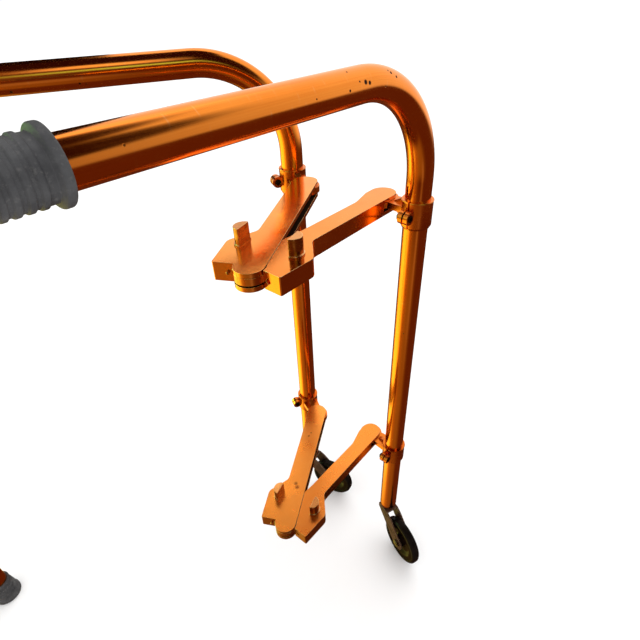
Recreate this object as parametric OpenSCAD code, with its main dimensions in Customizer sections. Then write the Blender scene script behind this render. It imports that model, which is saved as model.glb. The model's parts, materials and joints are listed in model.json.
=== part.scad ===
// Folding front wheeled walker: two bent-tube side frames joined by an upper and a lower
// folding linkage, with a swivel caster under each front leg and a rubber tip under each rear leg.
// The model stands on Z = 0, faces +Y and is drawn partly folded: the linkage is shut and
// the left side frame is swung out further than the right one.

/* [Side frames] */
// Outer diameter of the frame tube
tube_d = 25.4; // [22:0.1:28]
// Wall of the frame tube
tube_wall = 1.6; // [1.2:0.1:2.2]
// Height of the handle rail's axis above the floor
rail_z = 719; // [706:1:900]
// Centre-line radius of the two bends
bend_r = 95; // [70:1:110]
// Distance from the front leg's axis to the rear leg's axis
frame_depth = 530; // [480:1:600]

/* [Linkages] */
// Distance between the pivots of one linkage arm
arm_len = 187; // [175:1:210]
// Height of one linkage arm
arm_h = 17; // [16.5:0.5:18]
// Height of the upper linkage's top face
upper_arm_top = 602.5; // [526:0.5:606]
// Height of the lower linkage's top face
lower_arm_top = 233; // [196:0.5:306]
// Distance from a front leg's axis to the pivot on its clamps
pivot_reach = 41; // [41:0.5:46]

/* [Casters] */
// Height of the front tube's lower end above the floor
caster_h = 83; // [82:1:92]
// Diameter of the caster wheel
wheel_d = 76; // [72:1:78]
// Distance from the swivel axis to the wheel's axle
caster_trail = 43; // [40:1:46]

/* [Pose as drawn] */
// Angle between the two arms of each linkage when the linkage is shut
shut_angle = 28; // [28:1:36]
// Angle that the left clamp pivots have folded from straight
left_fold = 34; // [20:1:40]
// Angle that the right clamp pivots have folded from straight
right_fold = 92; // [80:1:92]
// Heading of the left caster's trail, clockwise from straight ahead
left_caster_heading = 64; // [0:1:359]
// Heading of the right caster's trail, clockwise from straight ahead
right_caster_heading = 96; // [0:1:359]

/* [Hidden] */

$fn = 64;
eps = 0.01;
tube_r = tube_d / 2;
tube_bore_r = tube_r - tube_wall;
over = 1; // how far a cutting shape runs past the surface that it cuts
running = 0.05;
free_running = 0.1;
slip = 0.05;
corner_step = 9; // degrees between the points of a rounded corner
end_steps = 30; // segments round an arm's or a fork's end
room_steps = 24; // segments round the room for a hinge

// Colours
copper = [0.80, 0.42, 0.10];
cast_copper = [0.86, 0.52, 0.24];
steel = [0.62, 0.60, 0.57];
dark_steel = [0.16, 0.12, 0.10];
black_rubber = [0.05, 0.05, 0.05];
grey_rubber = [0.35, 0.35, 0.36];
nylon = [0.12, 0.12, 0.12];

// Clamps
clamp_r = 15.5;
clamp_h = 28.5;
clamp_lip = 0.8;
clamp_above_arm = 3.3;
clamp_taper = 3;
clamp_foot_r = 14;
slit_w = 1.8;
ear_r = 6.4;
ear_t = 4.6;
ear_reach = 20;
ear_web_h = 9;
ear_lift = 0.8; // of the ears above the clamp's middle
ear_z = clamp_above_arm - clamp_h / 2 + ear_lift;
lug_w_ring = 24; // lug plate where it leaves the ring
lug_w_boss = 18; // lug plate at the boss
lug_web_t = 6;
lug_web_gap = 1.5;
lug_web_inset = 2;
screw_r = 2;
screw_hole_r = 2.2;
screw_head_r = 3.5;
screw_head_h = 3;
screw_socket_r = 1.7;
screw_socket_depth = 2;
head_recess_r = 3.8;
head_recess = 2.2;
nut_r = 4.04;
nut_h = 2.4;
thread_out = 1; // of a screw or an axle beyond its nut

// Linkage stack, counted down from the top face: plate, gap, tongue, washer, gap, plate
plate_t = 4.3;
slot_h = arm_h - 2 * plate_t;
stack_gap = 0.15;
washer_t = 1.2;
tongue_t = slot_h - washer_t - 3 * stack_gap;
washer_r = 9;
pin_r = 4;
pin_cover = 1.6;

// Arm outline, along the arm from the centre hinge and across it, outwards positive
hinge_r = 13.2;
block_end = 1.2;
block_w = 32.2;
block_w_back = 33.2;
block_l = 39;
shoulder_l = 61;
shoulder_r = 9;
corner_r = 1.5;
boss_r = 16;
boss_gap = 1.2;
left_neck_out = 12.4;
left_knob_r = 14;
right_neck_out = 12.4;
right_neck_in = 7;
right_knob_r = 13.2;
waist_l = 150;
waist_r = 20;
left_waist_out = 12.8;
right_waist_out = 12.8;
knob_neck = 8; // from the pivot back to where the outer edge leaves the knob
inner_neck = 12; // the same on the inner edge
inner_shoulder_r = 40;
inner_shoulder_in = 8;
channel_wall = 7.5;
slot_clear = 1;
recess_gap = 0.5;

// Pegs: half-round posts near each block
peg_r = 8.4;
peg_h = 16.5;
peg_foot_h = 1.6;
peg_foot = 1;
peg_along = 35;
peg_out = 15.3;
peg_spigot_r = 3;
peg_spigot_h = 3;

// Locating dowel in the left block's end face and its hole in the right block
dowel_r = 1.6;
dowel_out = 2.9;
dowel_in = 7;
dowel_across = 19;
dowel_hole_r = 2.3;
dowel_hole_depth = 4;

// Grips and rear tips
grip_front = 308;
grip_l = 124;
grip_r = 16.2;
grip_flange_r = 18.5;
grip_flange_t = 5;
grip_round = 2;
tip_r = 19;
tip_top_r = 15.6;
tip_h = 40;
tip_floor = 8;
tip_base_h = 9;
tip_disc_t = 1.5;

// Caster
swage_h = 8;
swage_in = 2.6;
swage_step = 15; // degrees between the points of the rolled-in end
socket_top = 40;
stem_r = 4.75;
stem_top = 38;
crown_gap = 0.3;
crown_washer_t = 2;
crown_washer_r = 9.5;
crown_t = 3;
crown_front = 9.5;
crown_r = 12.6;
crown_cut_r = 14.95; // rounds the crown's corners
crown_top = caster_h - crown_gap - crown_washer_t;
stem_head_r = 7;
stem_head_t = 2;
cheek_t = 2.2;
fork_w = 22;
cheek_end_r = 12;
cheek_front_drop = 7; // from the crown's top to where each edge of a cheek turns down
cheek_front_r = 8;
cheek_back_drop = 5;
cheek_back_r = 12;
cheek_back_reach = 8;
cheek_front_turn = 236.6; // direction from the axle to where each edge meets the round end
cheek_back_turn = 385.85;
axle_z = wheel_d / 2;
axle_r = 4;
axle_head_r = 6;
axle_head_t = 2.6;
axle_nut_r = 6.4;
bush_r = 6;
hub_w = 16.8;
hub_r = 9.5;
tyre_t = 7;
rim_r = wheel_d / 2 - tyre_t;
web_w = 6;
rim_w = 11;
rim_t = 4;
tyre_w = 13;
tyre_round = 3.8;

// Headings in degrees clockwise from +Y: the two frames lean by the same amount
frame_yaw = (180 - shut_angle - left_fold - right_fold) / 2;
left_arm_heading = frame_yaw - 90 + left_fold;
right_arm_heading = 90 - frame_yaw - right_fold;
function heading(a) = [sin(a), cos(a)];

// Places counted from the centre hinge, then moved so that the origin lies on the floor
// under the middle of the drawn model
left_pivot_0 = arm_len * heading(left_arm_heading);
right_pivot_0 = arm_len * heading(right_arm_heading);
left_leg_0 = left_pivot_0 - pivot_reach * heading(frame_yaw + 90);
right_leg_0 = right_pivot_0 - pivot_reach * heading(-frame_yaw - 90);
left_rear_0 = left_leg_0 - frame_depth * heading(frame_yaw);
right_rear_0 = right_leg_0 - frame_depth * heading(-frame_yaw);
x_low = left_rear_0[0] - tip_r;
x_high = right_rear_0[0] + tip_r;
y_low = left_rear_0[1] - tip_r;
y_high = right_leg_0[1] + clamp_r + clamp_lip / 2;
centre_hinge = -[(x_low + x_high) / 2, (y_low + y_high) / 2];
left_leg = centre_hinge + left_leg_0;
right_leg = centre_hinge + right_leg_0;

// Levels of one linkage below its top face
tongue_top = plate_t + stack_gap;
tongue_bottom = tongue_top + tongue_t;
washer_top = tongue_bottom + stack_gap;
washer_bottom = washer_top + washer_t;

// ---- placing ----
module in_left_frame() {
  translate([left_leg[0], left_leg[1], 0]) rotate([0, 0, -frame_yaw]) children();
}

module in_right_frame() {
  translate([right_leg[0], right_leg[1], 0]) rotate([0, 0, frame_yaw]) children();
}

// Arm space: +X runs from the centre hinge to the clamp pivot, +Y outwards, Z = 0 is the top face
module in_left_arm(top) {
  translate([centre_hinge[0], centre_hinge[1], top]) rotate([0, 0, 90 - left_arm_heading]) children();
}

module in_right_arm(top) {
  translate([centre_hinge[0], centre_hinge[1], top]) rotate([0, 0, 90 - right_arm_heading])
    mirror([0, 1, 0]) children();
}

// Caster space: +X runs along the trail, Z = 0 is the floor
module in_left_caster() {
  translate([left_leg[0], left_leg[1], 0]) rotate([0, 0, 90 - left_caster_heading]) children();
}

module in_right_caster() {
  translate([right_leg[0], right_leg[1], 0]) rotate([0, 0, 90 - right_caster_heading]) children();
}

// ---- shapes used more than once ----
// Points of an outline whose corners [x, y, radius] are rounded
function unit(v) = v / norm(v);
function corner(p, q, s) =
  let (
    a = unit([p[0] - q[0], p[1] - q[1]]),
    b = unit([s[0] - q[0], s[1] - q[1]]),
    half = acos(max(-1, min(1, a * b))) / 2,
    reach = q[2] / tan(half),
    centre = [q[0], q[1]] + unit(a + b) * q[2] / sin(half),
    from = [q[0], q[1]] + a * reach - centre,
    to = [q[0], q[1]] + b * reach - centre,
    steps = max(2, ceil((180 - 2 * half) / corner_step))
  )
  [for (i = [0 : steps]) centre + (sin((steps - i) / steps * (180 - 2 * half)) * from
    + sin(i / steps * (180 - 2 * half)) * to) / sin(180 - 2 * half)];
function rounded(pts) =
  [for (i = [0 : len(pts) - 1])
    let (n = len(pts), q = pts[i])
    each (q[2] == 0 ? [[q[0], q[1]]] : corner(pts[(i + n - 1) % n], q, pts[(i + 1) % n]))];
// The same for an open run of corners, without its two ends
function path_corners(pts) =
  [for (i = [1 : 1 : len(pts) - 2]) each corner(pts[i - 1], pts[i], pts[i + 1])];
function arc(cx, cy, r, from, to, steps) =
  [for (i = [0 : steps]) let (a = from + (to - from) * i / steps) [cx + r * cos(a), cy + r * sin(a)]];

module slab(top, bottom) {
  translate([0, 0, -bottom]) linear_extrude(bottom - top) children();
}

// ---- side frames ----
module bend(r) {
  rotate([90, 0, 90]) rotate_extrude(angle = 90) translate([bend_r, 0]) circle(r);
}

// Solid run of the tube: front leg at Y = 0, rail at rail_z, rear leg at Y = -frame_depth
module tube_run(r, front_end, rear_end) {
  translate([0, 0, front_end]) cylinder(r = r, h = rail_z - bend_r - front_end);
  translate([0, -bend_r, rail_z - bend_r]) bend(r);
  translate([0, bend_r - frame_depth, rail_z]) rotate([-90, 0, 0])
    cylinder(r = r, h = frame_depth - 2 * bend_r);
  translate([0, bend_r - frame_depth, rail_z - bend_r]) mirror([0, 1, 0]) bend(r);
  translate([0, -frame_depth, rear_end]) cylinder(r = r, h = rail_z - bend_r - rear_end);
}

// The front leg's lower end is rolled inwards
module swaged_end() {
  inner_r = tube_r - swage_in;
  rotate_extrude() polygon(concat(
    [[inner_r - tube_wall, caster_h], [inner_r, caster_h]],
    [for (a = [0 : swage_step : 90]) [inner_r + swage_in * sin(a), caster_h + swage_h * (1 - cos(a))]],
    [[tube_bore_r, caster_h + swage_h], [inner_r - tube_wall, caster_h + tube_wall]]));
}

module frame_tube() {
  color(copper) {
    difference() {
      tube_run(tube_r, caster_h + swage_h, tip_floor + tip_disc_t);
      tube_run(tube_bore_r, caster_h + swage_h - eps, tip_floor + tip_disc_t - eps);
    }
    swaged_end();
  }
}

module left_frame_tube() { in_left_frame() frame_tube(); }
module right_frame_tube() { in_right_frame() frame_tube(); }

module grip() {
  bore = tube_r + slip;
  color(grey_rubber) translate([0, -grip_front, rail_z]) rotate([90, 0, 0]) rotate_extrude()
    polygon(rounded([
      [bore, 0, 0], [grip_flange_r, 0, grip_round], [grip_flange_r, grip_flange_t, grip_round],
      [grip_r, grip_flange_t + grip_round, grip_round], [grip_r, grip_l, grip_round], [bore, grip_l, 0]]));
}

module left_grip() { in_left_frame() grip(); }
module right_grip() { in_right_frame() grip(); }

module rear_tip() {
  bore = tube_r + slip;
  color(grey_rubber) translate([0, -frame_depth, 0]) rotate_extrude() polygon(concat(
    [[0, 0]],
    rounded([
      [0, 0, 0], [tip_r, 0, grip_round], [tip_r, tip_base_h, grip_round],
      [tip_top_r + grip_round, tip_base_h + 2 * grip_round, grip_round],
      [tip_top_r, tip_h, grip_round / 2], [bore, tip_h, 0], [bore, tip_floor, 0], [0, tip_floor, 0]])));
}

module left_rear_tip() { in_left_frame() rear_tip(); }
module right_rear_tip() { in_right_frame() rear_tip(); }

module tip_disc() {
  color(steel) translate([0, -frame_depth, tip_floor]) cylinder(r = tube_r - slip, h = tip_disc_t);
}

module left_tip_disc() { in_left_frame() tip_disc(); }
module right_tip_disc() { in_right_frame() tip_disc(); }

// ---- clamps ----
// Clamp space: leg axis at the origin, the slit faces -Y, Z = 0 is the linkage's top face.
// side is 1 where the pivot lies towards +X and -1 where it lies towards -X.
module clamp_ring() {
  bottom = clamp_above_arm - clamp_h;
  rotate_extrude() polygon([
    [0, bottom], [clamp_foot_r, bottom], [clamp_r, bottom + clamp_taper],
    [clamp_r, clamp_above_arm - 2 * clamp_lip], [clamp_r + clamp_lip / 2, clamp_above_arm - clamp_lip],
    [clamp_r, clamp_above_arm], [0, clamp_above_arm]]);
}

module clamp_ears() {
  width = slit_w + 2 * ear_t;
  translate([-width / 2, -ear_reach, ear_z]) rotate([0, 90, 0]) cylinder(r = ear_r, h = width);
  translate([-width / 2, -ear_reach, ear_z - ear_web_h / 2]) cube([width, ear_reach, ear_web_h]);
}

// The lug carries the pivot boss between the arm's two plates
module clamp_lug(side) {
  web_end = pivot_reach - left_knob_r - lug_web_gap;
  web_top = clamp_above_arm - lug_web_inset;
  web_foot = clamp_above_arm - clamp_h + clamp_taper + lug_web_inset;
  slab(tongue_top, tongue_bottom) {
    translate([side * pivot_reach, 0]) circle(boss_r);
    polygon([
      [0, lug_w_ring / 2], [side * pivot_reach, lug_w_boss / 2], [side * pivot_reach, -lug_w_boss / 2],
      [0, -lug_w_ring / 2]]);
  }
  rotate([90, 0, 0]) translate([0, 0, -lug_web_t / 2]) linear_extrude(lug_web_t) polygon([
    [0, web_top], [side * clamp_r, web_top], [side * web_end, -tongue_top],
    [side * web_end, -tongue_bottom], [side * clamp_r, web_foot], [0, web_foot]]);
}

// clearance is the gap round the pivot pin in the lug
module clamp(side, clearance) {
  half = slit_w / 2;
  ear_face = half + ear_t;
  color(cast_copper) difference() {
    union() {
      clamp_ring();
      clamp_ears();
      clamp_lug(side);
    }
    translate([0, 0, -clamp_h]) cylinder(r = tube_r + slip, h = 2 * clamp_h);
    translate([-half, -2 * ear_reach, -clamp_h]) cube([slit_w, 2 * ear_reach, 2 * clamp_h]);
    translate([-2 * ear_face, -ear_reach, ear_z]) rotate([0, 90, 0])
      cylinder(r = screw_hole_r, h = 4 * ear_face);
    translate([ear_face - head_recess, -ear_reach, ear_z]) rotate([0, 90, 0])
      cylinder(r = head_recess_r, h = 2 * head_recess);
    translate([side * pivot_reach, 0, -clamp_h]) cylinder(r = pin_r + clearance, h = 2 * clamp_h);
  }
}

module upper_left_clamp() { in_left_frame() translate([0, 0, upper_arm_top]) clamp(1, running); }
module lower_left_clamp() { in_left_frame() translate([0, 0, lower_arm_top]) clamp(1, running); }
module upper_right_clamp() { in_right_frame() translate([0, 0, upper_arm_top]) clamp(-1, running); }
module lower_right_clamp() { in_right_frame() translate([0, 0, lower_arm_top]) clamp(-1, free_running); }

// Socket-head screw across the ears, head towards +X, and its nut on the other ear
module clamp_screw() {
  head_seat = slit_w / 2 + ear_t - head_recess;
  shank = 2 * (slit_w / 2 + ear_t) - head_recess + nut_h + thread_out;
  color(dark_steel) translate([head_seat, -ear_reach, ear_z]) rotate([0, 90, 0]) difference() {
    union() {
      cylinder(r = screw_head_r, h = screw_head_h);
      translate([0, 0, -shank]) cylinder(r = screw_r, h = shank + eps);
    }
    translate([0, 0, screw_head_h - screw_socket_depth])
      cylinder(r = screw_socket_r, h = screw_socket_depth + over, $fn = 6);
  }
}

module clamp_nut() {
  color(dark_steel) translate([-slit_w / 2 - ear_t - nut_h, -ear_reach, ear_z]) rotate([0, 90, 0])
    difference() {
      cylinder(r = nut_r, h = nut_h, $fn = 6);
      translate([0, 0, -over]) cylinder(r = screw_r, h = nut_h + 2 * over);
    }
}

module at_both_levels() {
  translate([0, 0, upper_arm_top]) children();
  translate([0, 0, lower_arm_top]) children();
}

module left_clamp_screws() { in_left_frame() at_both_levels() clamp_screw(); }
module right_clamp_screws() { in_right_frame() at_both_levels() clamp_screw(); }
module left_clamp_nuts() { in_left_frame() at_both_levels() clamp_nut(); }
module right_clamp_nuts() { in_right_frame() at_both_levels() clamp_nut(); }

// ---- linkage arms ----
// Outline of an arm, anticlockwise from the foot of the block's end face: round the hinge end,
// along the inner edge, round the knob, then back along the neck, shoulder and block
module arm_outline(neck_out, waist_out, knob_r, inner) {
  foot = acos(block_end / hinge_r);
  polygon(concat(
    arc(0, 0, hinge_r, foot, 270, end_steps),
    path_corners(concat([[0, -hinge_r, 0]], inner, [[arm_len, -knob_r, 0]])),
    arc(arm_len, 0, knob_r, -90, 90, end_steps),
    path_corners([
      [arm_len, knob_r, 0], [arm_len - knob_neck, knob_r, waist_r], [waist_l, waist_out, waist_r],
      [shoulder_l, neck_out, shoulder_r], [block_l, block_w_back, shoulder_r],
      [block_end, block_w, corner_r], [block_end, 0, 0]])));
}

module left_arm_outline() { arm_outline(left_neck_out, left_waist_out, left_knob_r, []); }

module right_arm_outline() {
  arm_outline(right_neck_out, right_waist_out, right_knob_r, [
    [shoulder_l, -inner_shoulder_in, inner_shoulder_r], [waist_l, -right_neck_in, waist_r],
    [arm_len - inner_neck, -right_knob_r, waist_r]]);
}

// Room inside a fork for the clamp's boss and for its lug at every fold angle
module clamp_room() {
  reach = boss_r + boss_gap;
  polygon(concat(
    arc(arm_len, 0, reach, 270, 180, room_steps / 2),
    [[arm_len - reach, 2 * reach], [arm_len + 2 * reach, 2 * reach], [arm_len + 2 * reach, -reach]]));
}

// Room between the left plates for the tongue, from shut to straight: the slanted side lies
// along the shut tongue's outer edge
module tongue_room() {
  room_r = hinge_r + slot_clear;
  far = arm_len + 2 * boss_r;
  channel = left_neck_out - channel_wall;
  polygon(concat(
    arc(0, 0, room_r, 90 - shut_angle, 270, room_steps),
    [[0, -2 * block_w], [far, -2 * block_w], [far, channel],
      [(room_r / cos(shut_angle) - channel) / tan(shut_angle), channel]]));
}

module pin_hole(along, r) {
  translate([along, 0, -arm_h - over]) cylinder(r = r, h = arm_h + over - pin_cover);
}

module left_arm() {
  color(cast_copper) difference() {
    slab(0, arm_h) left_arm_outline();
    slab(plate_t, plate_t + slot_h) {
      tongue_room();
      clamp_room();
    }
    pin_hole(0, pin_r);
    pin_hole(arm_len, pin_r);
    peg_hole();
    translate([block_end + dowel_in, dowel_across, -arm_h / 2]) rotate([0, -90, 0])
      cylinder(r = dowel_r, h = 2 * dowel_in);
  }
}

// Cut above and below the tongue: clears the left plates, whose inner edge lies along its
// slanted side when the linkage is shut
module plate_room() {
  far = 3 * hinge_r;
  circle(hinge_r + slot_clear);
  rotate(-shut_angle) polygon([
    [0, -far], [arm_len, -far], [arm_len + far, 0], [arm_len, left_knob_r + recess_gap],
    [0, hinge_r + recess_gap], [0, 0]]);
  translate([-far, -far]) square([far, 2 * far]);
}

module right_arm() {
  color(cast_copper) difference() {
    slab(0, arm_h) right_arm_outline();
    slab(-over, tongue_top) plate_room();
    slab(tongue_bottom, arm_h + over) plate_room();
    slab(plate_t, plate_t + slot_h) clamp_room();
    translate([0, 0, -2 * arm_h]) cylinder(r = pin_r + running, h = 3 * arm_h);
    pin_hole(arm_len, pin_r);
    peg_hole();
    translate([block_end + dowel_hole_depth, dowel_across, -arm_h / 2]) rotate([0, -90, 0])
      cylinder(r = dowel_hole_r, h = 2 * dowel_hole_depth);
  }
}

module upper_left_arm() { in_left_arm(upper_arm_top) left_arm(); }
module lower_left_arm() { in_left_arm(lower_arm_top) left_arm(); }
module upper_right_arm() { in_right_arm(upper_arm_top) right_arm(); }
module lower_right_arm() { in_right_arm(lower_arm_top) right_arm(); }

// ---- pegs ----
module peg_hole() {
  translate([peg_along, peg_out + peg_r / 2, -peg_spigot_h])
    cylinder(r = peg_spigot_r, h = peg_spigot_h + over);
}

// The flat faces the other arm's peg and is parallel to the line that halves the shut linkage
module half_round(r) {
  intersection() {
    circle(r);
    translate([-2 * r, 0]) square([4 * r, 2 * r]);
  }
}

module peg() {
  color(copper) {
    translate([peg_along, peg_out, 0]) rotate([0, 0, -shut_angle / 2]) {
      linear_extrude(peg_h) half_round(peg_r);
      linear_extrude(peg_foot_h) half_round(peg_r + peg_foot);
    }
    translate([peg_along, peg_out + peg_r / 2, -peg_spigot_h])
      cylinder(r = peg_spigot_r, h = peg_spigot_h + over);
  }
}

module upper_left_peg() { in_left_arm(upper_arm_top) peg(); }
module lower_left_peg() { in_left_arm(lower_arm_top) peg(); }
module upper_right_peg() { in_right_arm(upper_arm_top) peg(); }
module lower_right_peg() { in_right_arm(lower_arm_top) peg(); }

// ---- hinge pins, washers and dowels ----
module pivot_pin(along) {
  color(steel) translate([along, 0, -arm_h]) cylinder(r = pin_r, h = arm_h - pin_cover);
}

module upper_left_pivot_pin() { in_left_arm(upper_arm_top) pivot_pin(arm_len); }
module lower_left_pivot_pin() { in_left_arm(lower_arm_top) pivot_pin(arm_len); }
module upper_right_pivot_pin() { in_right_arm(upper_arm_top) pivot_pin(arm_len); }
module lower_right_pivot_pin() { in_right_arm(lower_arm_top) pivot_pin(arm_len); }
module upper_centre_pin() { in_left_arm(upper_arm_top) pivot_pin(0); }
module lower_centre_pin() { in_left_arm(lower_arm_top) pivot_pin(0); }

module washer(along) {
  color(nylon) translate([along, 0, -washer_bottom]) difference() {
    cylinder(r = washer_r, h = washer_t);
    translate([0, 0, -over]) cylinder(r = pin_r + running, h = washer_t + 2 * over);
  }
}

module left_arm_washers() {
  washer(0);
  washer(arm_len);
}

module upper_left_washers() { in_left_arm(upper_arm_top) left_arm_washers(); }
module lower_left_washers() { in_left_arm(lower_arm_top) left_arm_washers(); }
module upper_right_washer() { in_right_arm(upper_arm_top) washer(arm_len); }
module lower_right_washer() { in_right_arm(lower_arm_top) washer(arm_len); }

// Straight shank with a domed nose
module dowel() {
  color(steel) translate([block_end + dowel_in, dowel_across, -arm_h / 2]) rotate([0, -90, 0]) {
    cylinder(r = dowel_r, h = dowel_in + dowel_out - dowel_r);
    translate([0, 0, dowel_in + dowel_out - dowel_r]) sphere(dowel_r);
  }
}

module upper_dowel() { in_left_arm(upper_arm_top) dowel(); }
module lower_dowel() { in_left_arm(lower_arm_top) dowel(); }

// ---- casters ----
module caster_socket() {
  neck_r = tube_r - swage_in - tube_wall - slip;
  color(nylon) difference() {
    union() {
      translate([0, 0, caster_h + crown_gap]) cylinder(r = neck_r, h = swage_h + 2 * over);
      translate([0, 0, caster_h + swage_h + over])
        cylinder(r = tube_bore_r - slip, h = socket_top - swage_h - over);
    }
    translate([0, 0, caster_h - over]) cylinder(r = stem_r + running, h = socket_top + 2 * over);
  }
}

module left_caster_socket() { in_left_frame() caster_socket(); }
module right_caster_socket() { in_right_frame() caster_socket(); }

module caster_washer() {
  color(steel) translate([0, 0, crown_top]) difference() {
    cylinder(r = crown_washer_r, h = crown_washer_t);
    translate([0, 0, -over]) cylinder(r = stem_r, h = crown_washer_t + 2 * over);
  }
}

module left_caster_washer() { in_left_caster() caster_washer(); }
module right_caster_washer() { in_right_caster() caster_washer(); }

module caster_stem() {
  crown_foot = crown_top - crown_t;
  color(steel) {
    translate([0, 0, crown_foot]) cylinder(r = stem_r, h = caster_h + stem_top - crown_foot);
    translate([0, 0, crown_foot - stem_head_t]) cylinder(r = stem_head_r, h = stem_head_t);
  }
}

module left_caster_stem() { in_left_caster() caster_stem(); }
module right_caster_stem() { in_right_caster() caster_stem(); }

// Side view of one cheek: wide at the crown, narrowing to a round end over the axle
module cheek_outline() {
  round_end = arc(caster_trail, axle_z, cheek_end_r, cheek_front_turn, cheek_back_turn, end_steps);
  front_top = [-crown_front, crown_top];
  back_top = [crown_r, crown_top];
  difference() {
    polygon(concat(
      [front_top],
      corner(front_top, [-crown_front, crown_top - cheek_front_drop, cheek_front_r], round_end[0]),
      round_end,
      corner(round_end[end_steps], [crown_r + cheek_back_reach, crown_top - cheek_back_drop, cheek_back_r],
        back_top),
      [back_top]));
    translate([caster_trail, axle_z]) circle(axle_r);
  }
}

module caster_fork() {
  color(dark_steel) {
    for (side = [-1, 1])
      translate([0, side * (fork_w - cheek_t) / 2 + cheek_t / 2, 0]) rotate([90, 0, 0])
        linear_extrude(cheek_t) cheek_outline();
    difference() {
      translate([0, 0, crown_top - crown_t]) linear_extrude(crown_t) intersection() {
        translate([-crown_front, -fork_w / 2]) square([crown_front + crown_r, fork_w]);
        circle(crown_cut_r);
      }
      translate([0, 0, crown_top - 2 * crown_t]) cylinder(r = stem_r, h = 3 * crown_t);
    }
  }
}

module left_caster_fork() { in_left_caster() caster_fork(); }
module right_caster_fork() { in_right_caster() caster_fork(); }

// The axle's domed head is on the +Y cheek, the nut on the -Y cheek
module at_axle() {
  translate([caster_trail, 0, axle_z]) rotate([-90, 0, 0]) children();
}

module axle() {
  dome_r = 2 * axle_head_r;
  nut_end = axle_head_t + thread_out;
  color(steel) at_axle() {
    translate([0, 0, -fork_w / 2 - nut_end]) cylinder(r = axle_r, h = fork_w + nut_end);
    translate([0, 0, fork_w / 2]) rotate_extrude() intersection() {
      translate([0, axle_head_t - dome_r]) circle(dome_r);
      square([axle_head_r, axle_head_t]);
    }
  }
}

module left_axle() { in_left_caster() axle(); }
module right_axle() { in_right_caster() axle(); }

module axle_nut() {
  color(steel) at_axle() translate([0, 0, -fork_w / 2 - axle_head_t]) difference() {
    cylinder(r = axle_nut_r, h = axle_head_t, $fn = 6);
    translate([0, 0, -over]) cylinder(r = axle_r, h = axle_head_t + 2 * over);
  }
}

module left_axle_nut() { in_left_caster() axle_nut(); }
module right_axle_nut() { in_right_caster() axle_nut(); }

// Hub, thin web and rim in one moulding
module wheel() {
  color(nylon) at_axle() rotate_extrude() difference() {
    union() {
      translate([0, -hub_w / 2]) square([hub_r, hub_w]);
      translate([0, -web_w / 2]) square([rim_r, web_w]);
      translate([rim_r - rim_t, -rim_w / 2]) square([rim_t, rim_w]);
    }
    translate([-over, -hub_w]) square([bush_r + over, 2 * hub_w]);
  }
}

module left_wheel() { in_left_caster() wheel(); }
module right_wheel() { in_right_caster() wheel(); }

module tyre() {
  color(black_rubber) at_axle() rotate_extrude() polygon(rounded([
    [rim_r, -tyre_w / 2, 0], [wheel_d / 2, -tyre_w / 2, tyre_round],
    [wheel_d / 2, tyre_w / 2, tyre_round], [rim_r, tyre_w / 2, 0]]));
}

module left_tyre() { in_left_caster() tyre(); }
module right_tyre() { in_right_caster() tyre(); }

module wheel_bush() {
  color(steel) at_axle() translate([0, 0, -hub_w / 2]) difference() {
    cylinder(r = bush_r, h = hub_w);
    translate([0, 0, -over]) cylinder(r = axle_r + running, h = hub_w + 2 * over);
  }
}

module left_wheel_bush() { in_left_caster() wheel_bush(); }
module right_wheel_bush() { in_right_caster() wheel_bush(); }

left_frame_tube();
right_frame_tube();
left_grip();
right_grip();
left_rear_tip();
right_rear_tip();
left_tip_disc();
right_tip_disc();
upper_left_clamp();
lower_left_clamp();
upper_right_clamp();
lower_right_clamp();
left_clamp_screws();
right_clamp_screws();
left_clamp_nuts();
right_clamp_nuts();
upper_left_arm();
lower_left_arm();
upper_right_arm();
lower_right_arm();
upper_left_peg();
lower_left_peg();
upper_right_peg();
lower_right_peg();
upper_left_pivot_pin();
lower_left_pivot_pin();
upper_right_pivot_pin();
lower_right_pivot_pin();
upper_centre_pin();
lower_centre_pin();
upper_left_washers();
lower_left_washers();
upper_right_washer();
lower_right_washer();
upper_dowel();
lower_dowel();
left_caster_socket();
right_caster_socket();
left_caster_washer();
right_caster_washer();
left_caster_stem();
right_caster_stem();
left_caster_fork();
right_caster_fork();
left_axle();
right_axle();
left_axle_nut();
right_axle_nut();
left_wheel();
right_wheel();
left_tyre();
right_tyre();
left_wheel_bush();
right_wheel_bush();
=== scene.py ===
"""Looks of the folding front wheeled walker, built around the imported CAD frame.

Lengths are metres unless a name ends in _mm. Each side frame, arm and wheel has a space of its
own, worked out from the joints, so that a piece is built once and placed for each side. "Left"
and "right" are the user's, who faces +Y."""

import json
import math

import bmesh
import bpy
from mathutils import Matrix, Vector


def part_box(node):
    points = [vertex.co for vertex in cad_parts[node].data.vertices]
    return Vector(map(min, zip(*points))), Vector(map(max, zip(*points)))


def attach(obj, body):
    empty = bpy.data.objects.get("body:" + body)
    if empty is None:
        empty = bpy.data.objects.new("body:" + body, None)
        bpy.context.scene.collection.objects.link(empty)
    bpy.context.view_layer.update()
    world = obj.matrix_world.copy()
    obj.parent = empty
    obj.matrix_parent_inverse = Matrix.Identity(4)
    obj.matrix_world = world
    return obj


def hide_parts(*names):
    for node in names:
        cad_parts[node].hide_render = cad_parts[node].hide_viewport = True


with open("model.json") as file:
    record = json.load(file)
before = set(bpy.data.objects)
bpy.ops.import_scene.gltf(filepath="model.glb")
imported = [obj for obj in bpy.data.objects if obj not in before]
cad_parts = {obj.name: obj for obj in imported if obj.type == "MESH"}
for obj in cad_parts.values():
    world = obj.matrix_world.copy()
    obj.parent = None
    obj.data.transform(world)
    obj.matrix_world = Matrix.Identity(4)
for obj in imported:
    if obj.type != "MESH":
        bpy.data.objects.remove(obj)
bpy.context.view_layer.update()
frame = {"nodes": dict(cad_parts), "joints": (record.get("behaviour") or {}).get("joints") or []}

MM = 0.001
UP = Vector((0, 0, 1))
SIDES = ("left", "right")
LEVELS = ("upper", "lower")
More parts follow.
